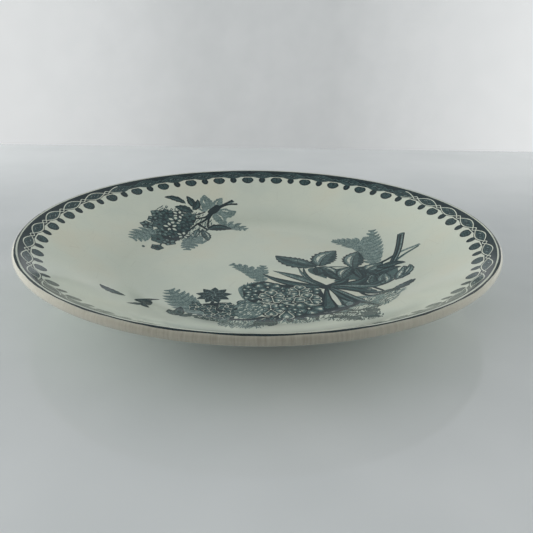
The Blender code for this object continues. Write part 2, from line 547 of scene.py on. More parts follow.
def leaf(art, base, tip, width, bend=0.0, teeth=0, style="dark", lit=1, veins=4):
    edge, body, light, glow, margin, vein = leafStyles[style]
    count = teeth * 3 + 1 if teeth else max(9, int(abs(tip - base) / 0.9))
    t = np.linspace(0, 1, count)
    middle = base + (tip - base) * (t + 4j * bend * t * (1 - t))
    side = sideOf(middle)
    half = width / 2 * np.sin(math.pi * t**0.85) ** 0.8
    ragged = half * (1 + 0.30 * (np.mod(t * teeth + 1e-6, 1) - 0.3)) if teeth else half
    art.append((band(middle, side * ragged), edge))
    if width <= 2.2:
        return
    inner = np.maximum(half - 0.45, 0)[1:-1] * 0.92
    midst, across = middle[1:-1], side[1:-1] * lit

    def lens(near, far, first=0.0, last=1.0):
        # a strip of the leaf from one share of its half width to another
        share = np.linspace(0, 1, len(midst))
        fade = np.where((share > first) & (share < last), 1, 0) * np.sin(
            math.pi * np.clip((share - first) / (last - first), 0, 1)) ** 0.5
        inside = midst + across * inner * near
        outside = midst + across * inner * (near + (far - near) * fade)
        return np.concatenate([inside, outside[::-1]])

    art.append((band(midst, across * inner), body))
    art.append((lens(0.05, 0.92), light))
    if width > 3.5:
        art.append((lens(-0.95, -0.5), margin))
        art.append((lens(0.34, 0.64, 0.18, 0.7), glow))
        for k in range(veins):
            i = 1 + int((k + 0.6) / veins * (len(midst) - 3))
            j = min(i + max(1, len(midst) // 7), len(midst) - 1)
            for way in (1, -1):
                path = np.array([midst[i], midst[j] + way * across[j] * inner[j] * 0.8])
                art.append((stroke(path, 0.42, 0.12), vein if way == 1 else light))
    art.append((stroke(middle, 0.7, 0.2), vein if style == "dark" else edge))


def blade(art, base, tip, width, bend=0.0, body=dark, light=mid):
    # a long grass blade, widest a third of the way up, with a dark edge and a light streak
    path = curved(base, tip, bend)
    art.append((stroke(path, width * 0.5, 0.15, width * 0.65), line))
    if width > 1.6:
        art.append((stroke(path[1:-2], width * 0.3, 0.1, width * 0.5), body))
        lit = path[1:-3] + sideOf(path[1:-3]) * width * 0.1
        art.append((stroke(lit, width * 0.12, 0.1, width * 0.24), light))


petalPoints = (0.04, 0.34+0.27j, 0.74+0.5j, 1.0+0.26j, 0.93, 1.0-0.26j, 0.74-0.5j, 0.34-0.27j)


def petal(art, centre, tip, width, rim, body, glow):
    # a rounded petal: dark gap, rim, body, streaks from the throat and a highlight near the tip
    across = 1j * (tip - centre) * width
    outline = [centre + (tip - centre) * p.real + across * p.imag for p in map(complex, petalPoints)]
    middle = centre + (tip - centre) * 0.62
    full = spline(outline, True, 0.9)
    art.append((middle + (full - middle) * 1.12, line))
    art.append((full, rim))
    art.append((middle + (full - middle) * 0.84, body))
    for turn in (-0.26, 0.0, 0.26):
        end = centre + (tip - centre) * (0.62 - abs(turn)) * cmath.exp(1j * turn)
        art.append((stroke(np.array([centre, end]), 0.9, 0.2), dark))
    art.append((centre + (tip - centre) * 0.68 + (full - middle) * 0.5, wash))
    art.append((centre + (tip - centre) * 0.74 + (full - middle) * 0.27, glow))


def blossom(art, centre, radius, turn, petals=5, rim=clear, body=mid, glow=clear, flat=1.0):
    # an open flower of rounded petals
    for k in range(petals):
        angle = math.radians(turn) + k * 2 * math.pi / petals
        reach = radius * (1 + 0.1 * math.sin(2.3 * k + centre.real))
        tip = centre + reach * complex(math.cos(angle), flat * math.sin(angle))
        petal(art, centre, tip, 0.95, rim, body, glow)
    art.append((disc(centre, radius * 0.2), line))
    art.append((disc(centre, radius * 0.1, count=8), clear))


def floret(art, centre, radius, turn, petals=5, body=line, gap=clear, light=mid):
    # a small dark flower: pointed petals with a gap between them, a lighter streak and a pale eye
    for k in range(petals):
        angle = math.radians(turn) + k * 2 * math.pi / petals
        tip = centre + radius * cmath.exp(1j * angle)
        path = np.array([centre, centre + (tip - centre) * 0.55, tip])
        width = radius * 3.9 / petals
        art.append((stroke(spline(path, step=0.8), 0.5, 0.3, width + 0.5), gap))
        art.append((stroke(spline(path, step=0.8), 0.3, 0.1, width), body))
        art.append((stroke(spline(path, step=0.8)[2:-1], 0.3, 0.1, width * 0.42), light))
    art.append((disc(centre, radius * 0.24, count=9), gap))
    art.append((disc(centre, radius * 0.14, count=7), line))


def fern(art, rib, width, lobes, body=wash, narrow=0.42):
    # a soft leaf cut into pointed lobes on both sides of its rib
    path = spline(rib, step=0.5)
    side = sideOf(path)
    share = np.linspace(0, 1, len(path))
    core = width * 0.26 * np.sin(math.pi * (0.12 + 0.8 * share))
    art.append((band(path, side * core), body))
    for k in range(lobes):
        i = int((k + 0.7) / lobes * (len(path) - 1))
        reach = width / 2 * math.sin(math.pi * (0.18 + 0.74 * share[i])) + 0.5
        ahead = -1j * side[i]
        for way in (1, -1):
            tip = path[i] + way * side[i] * reach + ahead * reach * 0.75
            lobe = curved(path[i], tip, 0.08 * way)
            art.append((stroke(lobe, 0.9, 0.15, reach * narrow + 0.3), body))
            art.append((stroke(lobe[:-2], 0.3, 0.1, 0.2), mid))


def inOutline(x, y, outline):
    # even-odd test of many points against one outline
    ax, ay = outline.real[:, None], outline.imag[:, None]
    bx, by = np.roll(outline.real, -1)[:, None], np.roll(outline.imag, -1)[:, None]
    rise = np.where(by == ay, 1e-12, by - ay)
    crosses = ((ay > y) != (by > y)) & (x < (bx - ax) * (y - ay) / rise + ax)
    return crosses.sum(0) % 2 == 1


def grain(art, area, ink, spacing, length, lean, seed):
    # ground and shade in short engraver's strokes
    draw = np.random.default_rng(seed)
    outline = spline(area, True, 1.5)
    x0, x1 = outline.real.min(), outline.real.max()
    y0, y1 = outline.imag.min(), outline.imag.max()
    x, y = np.meshgrid(np.arange(x0, x1, spacing), np.arange(y0, y1, spacing * 1.3))
    x = x.ravel() + draw.uniform(-0.5, 0.5, x.size) * spacing
    y = y.ravel() + draw.uniform(-0.5, 0.5, y.size) * spacing
    keep = inOutline(x, y, outline)
    for spot, size in zip(x[keep] + 1j * y[keep], draw.uniform(0.6, 1.3, keep.sum())):
        angle = math.radians(lean) + 0.25 * math.sin(spot.real)
        half = length * size / 2 * cmath.exp(1j * angle)
        art.append((stroke(np.array([spot - half, spot, spot + half]), 0.1, 0.1, 0.5 + 0.15 * size), ink))


# from a drawing to a printed sheet

pressing = {
    "lift": 0.035 * mm,  # thickness of ink and glaze that stands over the body
    "grid": 2.2,  # mm between the extra points that let a sheet follow the plate's curves
    "join": 1e-3,  # mm, closer points are one
}


def cutShapes(art, grid, extent=None):
    # splits overlapping outlines into triangles, each with the ink of the shape drawn last over it
    points, edges = [], []
    for outline, _ in art:
        first = len(points)
        kept = [p for i, p in enumerate(outline) if abs(p - outline[i - 1]) > 0.02]
        points.extend((p.real, p.imag) for p in kept)
        edges.extend((first + i, first + (i + 1) % len(kept)) for i in range(len(kept)))
    spots = np.array(points)
    (x0, y0), (x1, y1) = (spots.min(0), spots.max(0)) if extent is None else extent
    if extent is not None:
        first = len(points)
        corners = ((x0, y0), (x1, y0), (x1, y1), (x0, y1))
        points.extend(corners)
        edges.extend((first + i, first + (i + 1) % 4) for i in range(4))
    rows = int((y1 - y0) / (grid * 0.87)) + 1
    for row in range(1, rows):
        y = y0 + row * (y1 - y0) / rows
        columns = int((x1 - x0) / grid) + 1
        for column in range(1, columns):
            points.append((x0 + (column + 0.5 * (row % 2) - 0.25) * (x1 - x0) / columns, y))
    found = delaunay_2d_cdt([Vector(p) for p in points], edges, [], 0, pressing["join"], False)
    at = np.array([(p.x, p.y) for p in found[0]])
    triangles = np.array([face for face in found[2] if len(face) == 3])
    middle = at[triangles].mean(1)
    tone = np.full(len(triangles), clear)
    if extent is not None:
        outside = (middle[:, 0] < x0) | (middle[:, 0] > x1) | (middle[:, 1] < y0) | (middle[:, 1] > y1)
    order = np.argsort(middle[:, 0])
    sortedX = middle[order, 0]
    for outline, ink in art:
        a, b = np.searchsorted(sortedX, (outline.real.min(), outline.real.max()))
        some = order[a:b]
        some = some[(middle[some, 1] > outline.imag.min()) & (middle[some, 1] < outline.imag.max())]
        if len(some):
            inside = inOutline(middle[some, 0], middle[some, 1], np.asarray(outline))
            tone[some[inside]] = ink
    if extent is not None:
        tone[outside] = clear
    kept = tone > clear
    corners = at[triangles]
    first, second = corners[:, 1] - corners[:, 0], corners[:, 2] - corners[:, 0]
    area = first[:, 0] * second[:, 1] - first[:, 1] * second[:, 0]
    kept &= np.abs(area) > 1e-5
    triangles = np.where((area < 0)[:, None], triangles[:, ::-1], triangles)
    return at[:, 0] + 1j * at[:, 1], triangles[kept], tone[kept]


def printSheet(name, spots, triangles, tones, bakeMap):
    # lays cut shapes on the glaze; spots are in metres over the plate
    used, index = np.unique(triangles, return_inverse=True)
    faces = index.reshape(triangles.shape)
    x, y = spots[used].real, spots[used].imag
    normals = glazeNormal(x, y)
    z = glazeHeight(x, y)
    at = np.stack([x, y, z], 1) + normals * pressing["lift"]
    mesh = bpy.data.meshes.new(name)
    mesh.from_pydata([tuple(p) for p in at], [], [tuple(map(int, f)) for f in faces])
    for ink in inks:
        mesh.materials.append(ink)
    mesh.polygons.foreach_set("material_index", (tones - 1).astype(np.int32))
    layer = mesh.uv_layers.new(name="OFBake")
    layer.uv.foreach_set("vector", bakeMap(faces, x, y).astype(np.float32).ravel())
    mesh.normals_split_custom_set_from_vertices([tuple(n) for n in normals])
    sheet = newObject(name, mesh)
    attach(sheet, "root")
    print(name + ":", len(mesh.polygons), "faces")
    return sheet


def planMap(faces, x, y):
    # the bake map of a spray is its own plan
    size = max(np.ptp(x), np.ptp(y))
    uv = np.stack([0.01 + 0.98 * (x - x.min()) / size, 0.01 + 0.98 * (y - y.min()) / size], 1)
    return uv[faces.ravel()]


def printSpray(name, art):
    spots, triangles, tones = cutShapes(art, pressing["grid"])
    return printSheet(name, spots * printScale, triangles, tones, planMap)


# the border

border = {
    "repeats": 35, "start": -18.55,  # degrees to the middle of the first drop
    "stretch": 1.18, "stretchFrom": 79.0,  # the paper strip stretched a little as it was laid round the rim
    "outer": 117.25, "centre": 113.6, "swing": 2.2, "knot": 0.95, "knotReach": 1.9,  # mm
    "rim": 0.55, "strand": 0.46, "strandEdge": 0.95,
    "drop": (8.2, 111.6, 109.3, 106.6),  # width, and the radii of its top, widest place and tip
    "tooth": (4.6, 111.3, 109.2, 107.1),
    "blurred": 0.62,  # sine of the turn from which the ink has run
    "reference": 113.5,  # mm radius at which lengths round the rim are true
}
period = 2 * math.pi * border["reference"] / border["repeats"]


def strandHeight(x):
    # one of the two strands: high round a long link, low round the small knot between two links
    reach, half = border["knotReach"], period / 2
    link = border["swing"] * np.cos(math.pi / 2 * (half - np.abs(x)) / (half - reach))
    knot = -border["knot"] * np.cos(math.pi / 2 * x / reach)
    return np.where(np.abs(x) < reach, knot, link)


def hanging(middle, shape, blunt):
    # the outline of a drop or a tooth that hangs from the links
    width, top, wide, tip = shape
    side = (
        (0.30, top), (0.46, (top + wide) / 2), (0.50, wide), (0.40, (wide + tip) / 2), (blunt, tip + 0.35))
    right = [middle + width * share + 1j * radius for share, radius in side]
    left = [middle - width * share + 1j * radius for share, radius in side[::-1]]
    return spline(right + [middle + 1j * tip] + left, step=0.7)


def borderRepeat(strandInk):
    # one drop with half a link at each side; x runs round the rim, y is the radius
    art = []
    half, centre = period / 2, border["centre"]
    x = np.linspace(-half, half, 49)
    lower = x + 1j * (centre - np.maximum(np.abs(strandHeight(x)), border["knot"]) - border["rim"])
    art.append((np.concatenate([lower, x[::-1] + 1j * border["outer"]]), line))
    for way in (-1, 1):
        middle = way * half
        s = np.linspace(-half + border["knotReach"], half - border["knotReach"], 29)
        bulge = border["swing"] * np.cos(math.pi / 2 * s / (half - border["knotReach"]))
        for shrink, ink in ((0.35, dark), (0.75, mid), (1.0, dark)):
            tall = np.maximum(bulge - shrink, 0.03)
            art.append((band(s, 1j * tall) + middle + 1j * centre, ink))
        for turn in (1, -1):
            path = middle + 1j * centre + turn * spline((0, 1.3+0.7j, 3.1+0.1j, 4.6-0.5j), step=0.6)
            art.append((stroke(path, 0.9, 0.15, 0.5), line))
            art.append((stroke(path[2:-2], 0.1, 0.1, 0.3), wash))
        art.append((disc(middle + 1j * centre, 0.7, 0.8, 10), line))
        art.append((disc(middle + 1j * centre, 0.3, 0.9, 8), wash))
        art.append((hanging(middle, border["tooth"], 0.26), line))
        width, top, wide, tip = border["tooth"]
        art.append((stroke(middle + 1j * np.array([top - 0.5, wide, tip + 1.2]), 0.6, 0.3, 0.5), dark))
    # the two strands
    s = np.linspace(-half * 1.02, half * 1.02, 57)
    for part, ink in (("strandEdge", line), ("strand", strandInk)):
        for sign in (1, -1):
            art.append((stroke(s + 1j * (centre + sign * strandHeight(s)), border[part], border[part]), ink))
    # the drop: a round veined leaf under the knot
    width, top, wide, tip = border["drop"]
    drop = hanging(0, border["drop"], 0.22)
    art.append((drop, line))
    hub = 1j * (wide + 0.1)
    art.append((hub + (drop - hub) * 0.8, dark))
    for k in range(3):
        root = 1j * (top - 0.9 - 1.15 * k)
        for way in (1, -1):
            end = root + way * (width * 0.36 - 0.45 * k) - 0.8j
            art.append((stroke(np.array([root + way * 0.3, end]), 0.45, 0.15), mid))
    art.append((stroke(1j * np.array([top, wide, tip + 0.7]), 0.5, 0.2, 0.2), line))
    return art


def buildBorder():
    half = period / 2
    reach = ((-half, border["drop"][3] - 0.5), (half, border["outer"] + 0.05))
    sharp = cutShapes(borderRepeat(clear), 2.0, reach)
    blurred = cutShapes(borderRepeat(mid), 2.0, reach)
    spots = sharp[0]
    # points on the two cut sides are snapped to them, so that neighbours share them
    real = np.where(np.abs(np.abs(spots.real) - half) < 0.01, np.sign(spots.real) * half, spots.real)
    spots = real + 1j * spots.imag
    allSpots, allFaces, allTones = [], [], []
    step = 2 * math.pi / border["repeats"]
    for k in range(border["repeats"]):
        even = math.radians(border["start"]) + k * step + spots.real / border["reference"]
        pulled = np.sin(even - math.radians(border["stretchFrom"]))
        angle = even + math.radians(border["stretch"]) * pulled
        allSpots.append(spots.imag * np.exp(1j * angle))
        # at the back of the plate the ink ran and filled the strands
        _, triangles, tones = blurred if math.sin(angle.mean()) > border["blurred"] else sharp
        allFaces.append(triangles[:, ::-1] + k * len(spots))  # the strip is seen from its other side
        allTones.append(tones)
    spots = np.concatenate(allSpots)
    faces = np.concatenate(allFaces)
    tones = np.concatenate(allTones)
    # one point where two repeats meet
    key = np.round(spots * 2000)
    _, first, same = np.unique(key, return_index=True, return_inverse=True)
    return spots[first], same.ravel()[faces], tones


def stripMap(faces, x, y):
    # the bake map of the border is its strip, cut into rows that lie above each other
    rows = 8
    angle = np.arctan2(y, x)[faces]
    middle = np.arctan2(np.sin(angle).mean(1), np.cos(angle).mean(1))
    angle = middle[:, None] + np.mod(angle - middle[:, None] + math.pi, 2 * math.pi) - math.pi
    run = (middle / (2 * math.pi)) % 1
    row = np.floor(run * rows)
    along = ((angle - middle[:, None]) / (2 * math.pi) + run[:, None]) * rows - row[:, None]
    radius = np.hypot(x, y)[faces]
    radius = (radius - radius.min()) / np.ptp(radius)
    u = 0.03 + 0.94 * along
    v = (row[:, None] + 0.04 + 0.92 * radius) / rows
    return np.stack([u, v], 2).reshape(-1, 2)


spots, faces, tones = buildBorder()
printSheet("border_print", spots * printScale, faces, tones, stripMap)

edgeLine = {
    "inner": 118.05, "outer": 118.85,  # mm
    "points": 720,
    # strength, waves round the rim and start: how the line wanders in mm, and how its width changes
    "wander": ((0.040, 7, 1), (0.032, 17, 2), (0.028, 41, 0), (0.020, 97, 0)),
    "swell": ((0.22, 5, 3), (0.20, 23, 0)),
    "wear": ((1, 29, 0.4), (1, 47, 1.3), (1, 3, 0)),
    "wornFrom": 2.96,  # the line is worn through where the waves of wear add up to more than this
}


def buildEdgeLine():
    # the thin line banded by hand on the crest
    count = edgeLine["points"]
    turn = np.arange(count) * 2 * math.pi / count
    wander, swell, wear = (
        sum(strength * np.sin(waves * turn + start) for strength, waves, start in edgeLine[kind])
        for kind in ("wander", "swell", "wear"))
    width = (edgeLine["outer"] - edgeLine["inner"]) * (1 + swell)
    centre = (edgeLine["inner"] + edgeLine["outer"]) / 2 + wander
    tracks = [centre + width * share for share in (-0.5, -0.17, 0.17, 0.5)]
    spots = np.concatenate([track * np.exp(1j * turn) for track in tracks])
    worn = wear > edgeLine["wornFrom"]
    faces = []
    for row in range(3):
        for k in range(count):
            if worn[k]:
                continue
            a, b = row * count + k, row * count + (k + 1) % count
            c, d = a + count, b + count
            faces.extend(((a, c, b), (b, c, d)))
    faces = np.array(faces)
    return spots, faces, np.full(len(faces), line)


spots, faces, tones = buildEdgeLine()
printSheet("edge_line", spots * printScale, faces, tones, stripMap)


# the main spray

mainSpray = {
    "fan": 34-25j,  # where the grass blades spring from
    # base, tip, width, bend, teeth, style, lit side
    "leaves": (
        (32+2j, 9.5+16.5j, 13.5, 0.10, 9, "toothed", -1),
        (33+1.5j, 44.5+25.5j, 13.5, 0.08, 8, "folded", 1),
        (51+0j, 57+24j, 12, 0.05, 8, "folded", 1),
        (31+1j, 30-11j, 7, 0.14, 4, "dark", 1),
        (33+1j, 40.5-10j, 7.5, 0.12, 5, "folded", 1),
        (36-3j, 44-17j, 6.5, -0.12, 4, "dark", 1),
        (50+0j, 43.5-16j, 8.5, -0.10, 5, "folded", -1),
        (51+0j, 53-15j, 7.5, 0.10, 5, "dark", -1),
        (54-2j, 63-12j, 7, 0.16, 4, "dark", 1),
        (57-4j, 68+4j, 8, 0.1, 4, "grey", 1),
        (63-0.5j, 78-4.5j, 6.5, 0.12, 4, "dark", -1),
        (62-8j, 75-8j, 5.5, 0.16, 4, "dark", 1),
        (57-22j, 61-9j, 7.5, 0.1, 4, "folded", 1),
        (64.5-24j, 66.5-9j, 7.5, 0.06, 4, "grey", -1),
        (69-23j, 76-8j, 8, -0.12, 5, "folded", 1),
        (73-20j, 79-8j, 4.5, -0.12, 4, "grey", 1),
        (50-27j, 58-35.5j, 6.5, 0.1, 4, "grey", 1),
        (60-35j, 68-39j, 4.4, 0.1, 3, "dark", 1),
        (64-36j, 75.5-28.5j, 5.4, -0.12, 5, "dark", 1),
        (70-33j, 77-29j, 3.4, -0.1, 3, "dark", 1),
    ),
    # tip, width, bend, body, streak
    "blades": (
        (7.5-5.5j, 6.6, -0.03, mid, wash),
        (2-9.5j, 6.4, 0.12, dark, mid),
        (21.5-0.5j, 2.6, 0.10, mid, wash),
        (24.5+1j, 2.4, 0.13, dark, mid),
        (47-14j, 6.0, -0.10, dark, mid),
        (58-11j, 7.5, -0.14, dark, mid),
        (66-17j, 6.0, -0.10, dark, mid),
        (64-24.5j, 6.6, 0.02, mid, wash),
        (57-31j, 5.0, 0.05, dark, mid),
        (64-38.5j, 5.4, 0.10, dark, mid),
        (54.5-50j, 4.6, 0.05, dark, wash),
        (47.5-44j, 5.0, -0.05, dark, mid),
        (42.5-49j, 4.0, -0.03, line, mid),
    ),
    # centre, petal length, turn of the first petal, whether its petals have a bright rim
    "flowers": (
        (-3.5-29.5j, 4.4, 110, False), (-2.5-37.5j, 4.0, 60, False), (3-44.5j, 3.8, 150, False),
        (12.5-30.5j, 4.4, 100, False), (26.5-30.5j, 4.6, 40, False), (14.5-36.5j, 3.8, 0, False),
        (5-26.5j, 6.2, 90, False), (20.5-30.5j, 5.8, 85, True), (7-37.5j, 6.4, 95, True),
        (25-39.5j, 6.0, 30, True), (17-43j, 5.8, 115, True), (6.5-51j, 6.0, 55, True),
        (24-49.5j, 6.6, 70, False), (14-47.5j, 4.6, 90, False), (17.5-53.5j, 3.6, 20, False),
    ),
}


def drawMainSpray():
    art = []
    # soft ferns and shaded ground behind everything
    fern(art, (62+4j, 63+18j, 60+31j, 45+40.5j), 14, 11)
    fern(art, (63+4j, 65+20j, 66+31j, 68+44j), 11, 11)
    fern(art, (60+33j, 54+37j, 44+41.5j), 8, 6)
    fern(art, (3-21j, -1.5-11j, -6-4j, -15+3j), 9, 8, narrow=0.6)
    fern(art, (2-20j, 1.5-7j, 2.5+1.5j), 7, 6, narrow=0.6)
    # ink that ran before it was fired, at the left of the flower head
    patch(art, (-9.5-28j, -5-23j, 1-21j, 2-36j, 0-46j, -5-43j, -8-37j), wash)
    grain(art, (-8-26j, 0-22j, 0-42j, -5-40j), mid, 1.3, 4.0, 84, 6)
    patch(art, (38-38j, 56-36j, 60-39j, 57-49j, 52-57j, 43-57j, 36-54j), wash)
    for hole in ((50-39j, 56-40j, 54-45.5j, 48.5-43j), (43.5-51j, 51-50j, 53-55.5j, 46-56.5j),
                 (57-46j, 62-45j, 58-52j, 55.5-53j)):
        patch(art, hole, clear)
    grain(art, (54-38j, 64-36j, 70-37j, 64-50j, 55-58j, 50-54j), wash, 1.5, 5.0, 42, 11)
    grain(art, (44-40j, 62-37j, 67-35j, 65-44j, 56-58j, 42-52j), mid, 1.9, 3.0, 60, 1)
    grain(art, (29-58j, 52-55j, 53-66j, 51.5-79j, 38-76j, 30-68j), mid, 1.6, 3.6, 70, 2)
    grain(art, (34-62j, 50-64j, 51-79j, 40-77j), dark, 2.6, 3.4, 60, 7)
    grain(art, (-15-62j, 2-62j, 9-62j, 26-60j, 25-70j, 8-68j, 0-80j, -15-78j),
          wash, 1.3, 5.0, 84, 3)
    grain(art, (-15-63j, 2-63j, 9-63j, 26-61j, 20-66j, 6-67j, -2-74j, -14-70j),
          mid, 2.6, 4.0, 80, 8)
    # the crowded leaves at the right stand on a shaded ground
    patch(art, (28-1j, 40-2j, 50+1j, 62+2j, 70-1j, 73-8j, 70-18j, 64-24j, 56-26j,
                        44-22j, 33-13j, 27-7j), mid)
    for hole in ((36-12.5j, 40-12j, 39-17.5j, 35.5-17j), (46-17j, 50-16j, 48-19.5j, 44.5-20j),
                 (60-25.5j, 69-25j, 66-30.5j, 61-32j), (44-2j, 47.5-2.5j, 44-8j, 42.5-6j)):
        patch(art, hole, clear)
    for base, tip in ((43-68j, 51-78j), (45-64j, 51-71j), (38-67j, 43-77j), (32-62j, 39-71j),
                      (48-60j, 53-66j)):
        leaf(art, base, tip, 4.8, 0.1, 4, "dark")
    # stems: woody bundle that ends in two cut stalks
    stalk = spline((46-22j, 58-13j, 67.5-5j, 73.5+4j, 78+15j, 82.5+31j))
    branch = spline((49-2j, 60+2.6j, 70+6.5j, 79+10.5j, 89+12.5j))
    art.append((stroke(branch, 1.6, 2.0), wash))
    art.append((stroke(branch[:len(branch) * 2 // 3] - 0.3j, 1.6, 1.8), line))
    twig(art, (66-3j, 74+2j, 81+7j, 88+11j), 2.4, 1.2, mid)
    art.append((stroke(stalk, 2.8, 4.2), line))
    art.append((stroke(stalk[12:] + 0.9, 0.35, 0.9), wash))
    art.append((stroke(stalk[12:] - 1.0, 0.3, 0.5), mid))
    art.append((disc(82.7+31j, 1.9, 0.5), mid))
    twig(art, (38.5+0.9j, 44+1.1j, 50.5+0.5j), 1.4, 1.2, mid)
    for stem in (
            ((52-27j, 59-17j, 68-8.5j), 2.4, 1.6), ((57-24j, 60.5-31j, 61.5-38j), 1.7, 1.0),
            ((50-30j, 54-36j, 64-37.5j), 2.0, 1.6), ((50-20j, 52-28j, 51-34j), 1.6, 1.0),
            ((58-25j, 66-23j, 74-17j), 1.6, 1.0), ((40-50j, 46-58j, 55-57.5j), 2.2, 1.4),
            ((45-40j, 51-47j, 55-58j), 2.2, 1.2), ((28-53j, 38-50j, 46-46j, 48-37j), 3.4, 2.2),
            ((27-56j, 35-54.5j, 42-50j), 3.0, 2.0), ((27.5-54j, 27-60j, 26.3-66j), 2.4, 1.2),
            ((33-53j, 34-58j, 38-64j), 2.0, 1.0), ((35-55j, 40-57j, 44-63j), 2.0, 1.0),
            ((-12-62j, -3-61.8j, 6-58j, 18-58j, 29-56j), 2.2, 2.2)):
        twig(art, *stem)
    for shape in mainSpray["leaves"]:
        leaf(art, *shape)
    for shape in mainSpray["blades"]:
        blade(art, mainSpray["fan"], *shape)
    # the broad blade that folds down in front, and the bright gap beside it
    patch(art, (35.5-29j, 38-36j, 39.5-45j, 37.5-45j, 35.5-36j), clear)
    patch(art, (34-26j, 31.2-38j, 29-50j, 37.5-49j, 35.5-37j), line)
    patch(art, (33.8-29j, 32.4-39j, 30.8-48.5j, 36-47.8j, 34.8-38j), mid)
    twig(art, (33.7-30j, 32.8-39j, 32-47j), 0.3, 0.9, dark)
    art.append((disc(33.6-25.4j, 3.0, 0.8), line))
    # flower head: bright flowers on a dark ground
    patch(art, (-5-25j, 3-19.5j, 12-23j, 24-25j, 31-29j, 32-40j, 30.5-50j, 26-57j,
                        15-61j, 5-58.5j, 0-52j, -2-45j, -6-39j, -7-31j), line)
    for centre, size, turn, bright in mainSpray["flowers"]:
        blossom(art, centre, size, turn, rim=clear if bright else dark, body=mid, glow=clear)
    petal(art, 13.5-51.5j, 13.5-60.5j, 0.80, clear, mid, clear)
    for centre, size in ((27-40j, 5.8), (5-52j, 6.4), (16-40.5j, 5.0), (6-38j, 6.6)):
        arc = centre + size * np.exp(1j * np.linspace(-2.6, -1.0, 12))
        art.append((stroke(arc, 0.2, 0.2, 0.35), clear))
    # ragged leaves below the head; the twig there is drawn with the stems
    for base, tip, width in (
            (8-58j, 3-62.5j, 3.4), (11-59j, 8-64j, 3.2), (14-60j, 15-66j, 3.2),
            (18-59j, 22-64.5j, 3.6), (22-57j, 28-61j, 3.6), (4-60j, -4.5-79j, 5.4),
            (6-60j, 5.5-76j, 5.0), (2-61j, -1-68j, 4.2), (7-60j, 8-69j, 2.6)):
        leaf(art, base, tip, width, 0.06, 4, "dark")
    # the pale round bud between the two heads
    bud = disc(-4-52j, 7.4, 1.16, 26)
    art.append((bud, mid))
    art.append((-4-52j + (bud + 4+52j) * 0.92, wash))
    grain(art, bud[::3] * 0.9 + 0.1 * (-4-52j), mid, 1.9, 3.2, 40, 9)
    grain(art, bud[::3] * 0.9 + 0.1 * (-4-52j), clear, 2.1, 2.0, 50, 10)
    leaf(art, -9-46j, -5-42j, 3.8, 0.1, 0, "grey")
    return art


printSpray("main_spray", drawMainSpray())

# the side spray: a daisy, small flowers and loose sprigs at the left

sideSpray = {
    "florets": (
        (-27.5-49.5j, 4.4, 10), (-22-51j, 3.8, 40), (-14-48.5j, 4.6, 70), (-25-61j, 4.0, 30),
        (-19.5-57j, 4.8, 15), (-12.5-56j, 4.4, 50), (-14.5-63j, 4.2, 0), (-20-64j, 3.4, 20)),
}


def drawSideSpray():
    art = []
    fern(art, (-24-58j, -33-47j, -43-31j), 14, 9, wash, 0.34)
    leaf(art, -30.5-44j, -27.5-51j, 3.4, 0.1, 3, "grey")
    # the small flowers stand on a dark ground
    patch(art, (-27-47j, -20-45j, -12-45j, -8.5-52j, -10-60j, -12-67j, -19-67j, -26-64j,
                        -23-56j, -29-51j), line)
    twig(art, (-20.5-42j, -21-47j, -18.5-55j, -19-62j), 1.8, 1.2, line)
    twig(art, (-27-50j, -21-55j, -14-55j), 1.4, 1.0, line)
    art.append((disc(-21-37j, 6.2, 0.95, 18), line))
    floret(art, -21-36.5j, 8.8, 90, petals=9, body=line, gap=wash, light=dark)
    floret(art, -21-36.5j, 5.6, 74, petals=8, body=line, gap=wash, light=dark)
    for shape in sideSpray["florets"]:
        floret(art, *shape, body=dark)
    for base, tip, width in (
            (-35-66j, -35-49.5j, 5.4), (-36-66j, -39.5-55j, 4.2), (-33-66j, -29-57j, 4.4)):
        leaf(art, base, tip, width, 0.0, 3, "toothed")
    return art


def drawSprigs():
    art = []
    patch(art, (-45.8-43j, -50.5-44j, -54-48.5j, -55.3-53j, -51-55.5j, -48-56j, -47.8-50j,
                        -49-46j), line)
    twig(art, (-50-47j, -52.5-50j, -53-53j), 0.3, 0.2, mid, 0.5)
    leaf(art, -50-55j, -57-60.5j, 3.4, 0.1, 3, "dark")
    leaf(art, -51-55.5j, -47-61j, 3.2, -0.1, 3, "dark")
    leaf(art, -60-50j, -73.5-42.5j, 4.6, 0.08, 5, "dark")
    leaf(art, -62-48.5j, -69-46.5j, 2.6, 0.1, 3, "grey")
    return art


printSpray("side_spray", drawSideSpray())
printSpray("sprigs", drawSprigs())

# the small spray at the back left

smallSpray = {
    "florets": (
        (-65+61j, 4.0, 20), (-59+64.5j, 4.4, 50), (-52+66j, 4.6, 10), (-45+66.5j, 4.2, 35),
        (-66+54j, 3.8, 70), (-60+57j, 4.8, 0), (-53+58.5j, 5.0, 25), (-46+60j, 4.4, 60),
        (-68.5+46.5j, 4.2, 40), (-62+50j, 4.2, 15), (-55+51j, 4.8, 45), (-48+53.5j, 4.4, 5),
        (-59+43.5j, 4.0, 30), (-52.5+44.5j, 4.2, 60), (-46.5+45.5j, 4.4, 20), (-60+35j, 4.8, 10),
        (-53.5+34j, 4.4, 50), (-59+25j, 3.8, 0)),
    "leaves": (
        (-49+79j, -63+79j, 4.6, -0.14, 4, "dark", 1),
        (-44+77j, -49.5+86j, 5.4, -0.1, 4, "dark", 1),
        (-44+74j, -42+85.5j, 4.6, -0.1, 4, "dark", -1),
        (-44+71j, -55.5+73j, 7.0, -0.12, 5, "dark", 1),
        (-33+57j, -17.5+59.5j, 7.2, 0.14, 5, "dark", 1),
        (-36.5+56j, -31+38.5j, 5.6, 0.06, 5, "folded", 1),
        (-38+56j, -39+44j, 4.0, -0.06, 3, "grey", 1),
    ),
}


